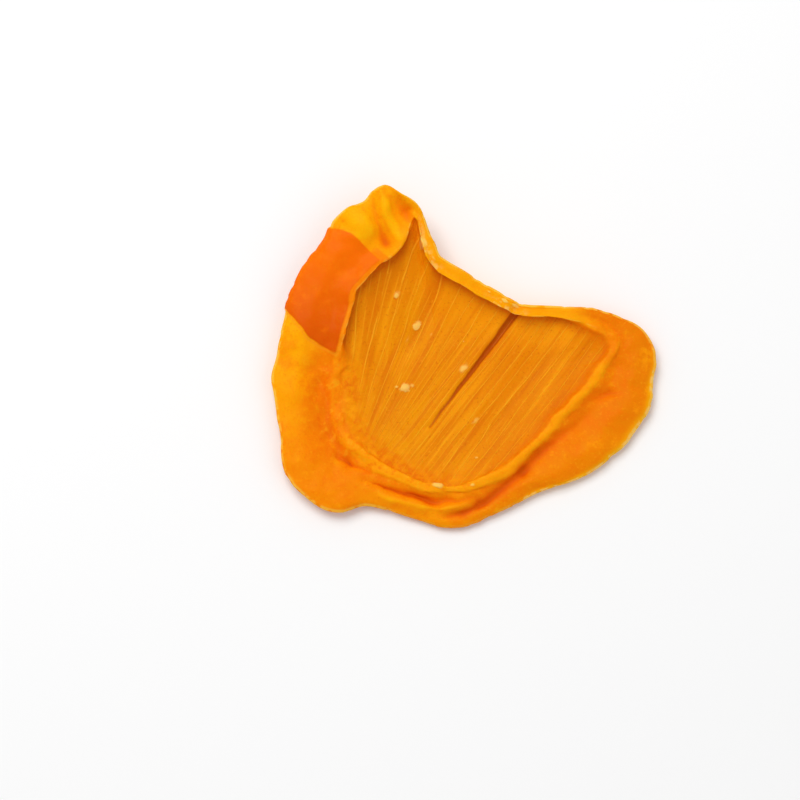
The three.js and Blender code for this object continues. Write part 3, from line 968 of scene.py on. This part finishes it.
# Painted shade: a darker orange strip on the face at the foot of the soft ridge, at the right.
painted_shade_at_ridge_foot = flesh.ramp(even_zone, 0.85, 1.2) * flesh.ramp(even_zone, 1.8, 1.45) * soft_wire
painted_shade_at_ridge_foot = painted_shade_at_ridge_foot * flesh.ramp(x_mm, 2.0, 12.0)
peel_line = flesh.ramp(skin_wire, -0.7, -0.2) * flesh.ramp(skin_wire, 0.1, -0.05) * (1 - cut)
peel_line = peel_line * flesh.ramp(y_mm, 12.0, 8.0)
on_crumb = flesh.ramp(flesh.read("crumb"), 0.0, 0.4)
body_colour = flesh.mix(cut, band_colour, cut_colour)
body_colour = flesh.coats(body_colour, [(painted_shade_at_ridge_foot, 0.6, (228, 112, 2))])
body_colour = flesh.mix(on_skin, body_colour, skin_colour)
body_colour = flesh.coats(body_colour, [
    (peel_line, 0.6, (255, 156, 24)),
    (on_crumb, 0.75, (255, 208, 104)),
])
print("all colours, nodes:", len(flesh.tree.nodes))

# %% Surface of the flesh
grain = flesh.noise(millimetres, 1.6, 3.0, 0.6)
height = (hairs * 0.3 + vein * 0.4) * cut + grain * 0.35
bump_settings = {"Height": height, "Strength": 0.5, "Distance": 0.0003}
bump = flesh.add("ShaderNodeBump", {}, bump_settings)
roughness = 0.42 - on_skin * 0.1 + grain * 0.12 - in_core * 0.1
shader = flesh.add(
    "ShaderNodeBsdfPrincipled",
    {"subsurface_method": "RANDOM_WALK"},
    {
        "Base Color": body_colour,
        "Roughness": roughness,
        "Normal": bump,
        "Subsurface Weight": 0.25,
        "Subsurface Radius": (1.0, 0.35, 0.08),
        "Subsurface Scale": 0.0025,
        "IOR": 1.42,
        "Specular IOR Level": 0.045,
    },
)
flesh.add("ShaderNodeOutputMaterial", {}, {"Surface": shader})
mesh.materials.clear()
mesh.materials.append(flesh.material)
print("nodes in the flesh:", len(flesh.tree.nodes))

# %% [markdown]
# Floor, light and camera
#
# The slice lies on a plain pale floor under a large soft light from the back left and a weak one
# from the front right, with even light from all round to keep the shadows thin. The camera looks
# almost straight down through a long lens, as for a catalogue picture.

# %% Floor
deselect_all()
bpy.ops.mesh.primitive_plane_add(size=3, location=(0, 0, 0))
floor_piece = bpy.context.object
floor_piece.name = "floor"
pale = Paint("pale_floor")
white = {"Base Color": (0.95, 0.95, 0.95, 1), "Roughness": 0.8, "Specular IOR Level": 0.2}
matt = pale.add("ShaderNodeBsdfPrincipled", {}, white)
pale.add("ShaderNodeOutputMaterial", {}, {"Surface": matt})
floor_piece.data.materials.append(pale.material)
floor_piece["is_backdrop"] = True
print("floor:", [round(v, 1) for v in floor_piece.dimensions], "m")

# %% Light
WORLD_LIGHT = 0.51
world = bpy.data.worlds.new("studio")
bpy.context.scene.world = world
world.use_nodes = True
world.node_tree.nodes["Background"].inputs["Color"].default_value = (1, 1, 1, 1)
world.node_tree.nodes["Background"].inputs["Strength"].default_value = WORLD_LIGHT


def soft_light(name, place, size, power):
    bpy.ops.object.light_add(type="AREA", location=place)
    light = bpy.context.object
    light.name = name
    light.data.size = size
    light.data.energy = power
    light.rotation_euler = (-Vector(place)).to_track_quat("-Z", "Y").to_euler()


soft_light("key", (-0.22, 0.3, 0.7), 0.5, 3.75)
soft_light("fill", (0.5, -0.3, 0.7), 0.8, 0.8)
bpy.context.scene.view_settings.view_transform = "Standard"

# %% Camera
ELEVATION = math.radians(80)
FRAME_WIDTH = 0.152
LENS = 100.0
AIM_X, AIM_Y = -13.9, -6.0  # where the camera looks, in millimetres from the slice's middle
back = Vector((0, -math.cos(ELEVATION), math.sin(ELEVATION)))
camera_data = bpy.data.cameras.new("camera")
camera_data.lens = LENS
camera_data.sensor_width = 36
camera = bpy.data.objects.new("camera", camera_data)
bpy.context.collection.objects.link(camera)
middle = Vector((shift[0], shift[1], 0)) * MM
aim = middle + Vector((AIM_X, AIM_Y / math.sin(ELEVATION), 0)) * MM
camera.location = aim + back * (FRAME_WIDTH * LENS / camera_data.sensor_width)
camera.rotation_euler = (-back).to_track_quat("-Z", "Y").to_euler()
bpy.context.scene.camera = camera
print("camera at", [round(v, 3) for v in camera.location])

# %% [markdown]
# Hand the slice to the frame
#
# The visible slice takes the place of the plain solid and rides on the one body there is. Its
# outer size is kept next to the model's, to show that dressing it hasn't made it grow.

# %% Ride, replace and finish
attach(slice_piece, "root")
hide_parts(NODE)
shown_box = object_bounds()
for name, box in (("model", cad_box), ("shown", shown_box)):
    print(name, "mm:", [round((b - a) / MM, 1) for a, b in zip(*box)])
